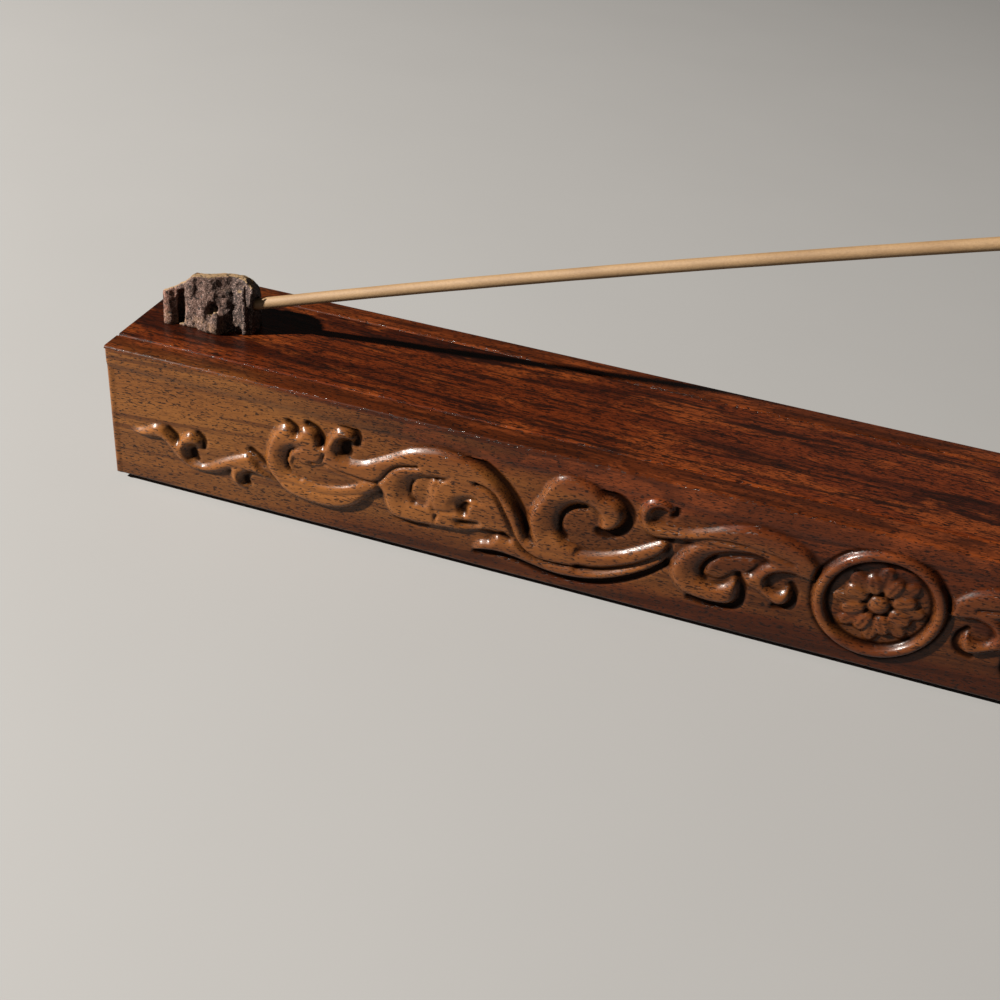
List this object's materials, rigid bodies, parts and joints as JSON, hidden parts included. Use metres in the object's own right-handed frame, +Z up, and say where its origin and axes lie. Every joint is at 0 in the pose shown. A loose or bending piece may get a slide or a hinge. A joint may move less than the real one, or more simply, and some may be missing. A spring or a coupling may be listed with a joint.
{
  "type": "incense burner",
  "caption": "Long carved wooden incense box with a lid that slides out at one end, a root-shaped holder on the lid and an incense stick leaning over the box.",
  "frame": {"origin": "on the table, under the middle of the box", "axes": "+X along the box from the holder's end to the other end, +Y from the front wall to the back wall, +Z up"},
  "size_m": [0.29, 0.0378, 0.0939],
  "materials": {
    "wall_wood": "lacquered rosewood, satin to gloss",
    "end_wood": "lacquered rosewood end grain, satin",
    "panel_wood": "plain rosewood, satin",
    "pad_felt": "dense felt",
    "lid_wood": "lacquered rosewood, satin to gloss",
    "root_wood": "rough dry root, matt",
    "dowel_wood": "plain beech",
    "incense": "dry pressed incense, matt"
  },
  "bodies": {
    "box": {"front_wall": "wall_wood", "back_wall": "wall_wood", "left_end_wall": "end_wood", "right_end_wall": "end_wood", "bottom_panel": "panel_wood", "foot_pads": "pad_felt"},
    "lid": {"sliding_lid": "lid_wood", "stick_holder": "root_wood", "holder_dowels": "dowel_wood"},
    "stick": {"incense_stick": "incense"}
  },
  "joints": [
    {"name": "lid_slide", "type": "slide", "parent": "box", "child": "lid", "axis": [-1, 0, 0], "range_m": [0, 0.29]},
    {"name": "stick_slide", "type": "slide", "parent": "lid", "child": "stick", "axis": [0.9472, 0, 0.3206], "range_m": [0, 0.03]}
  ]
}
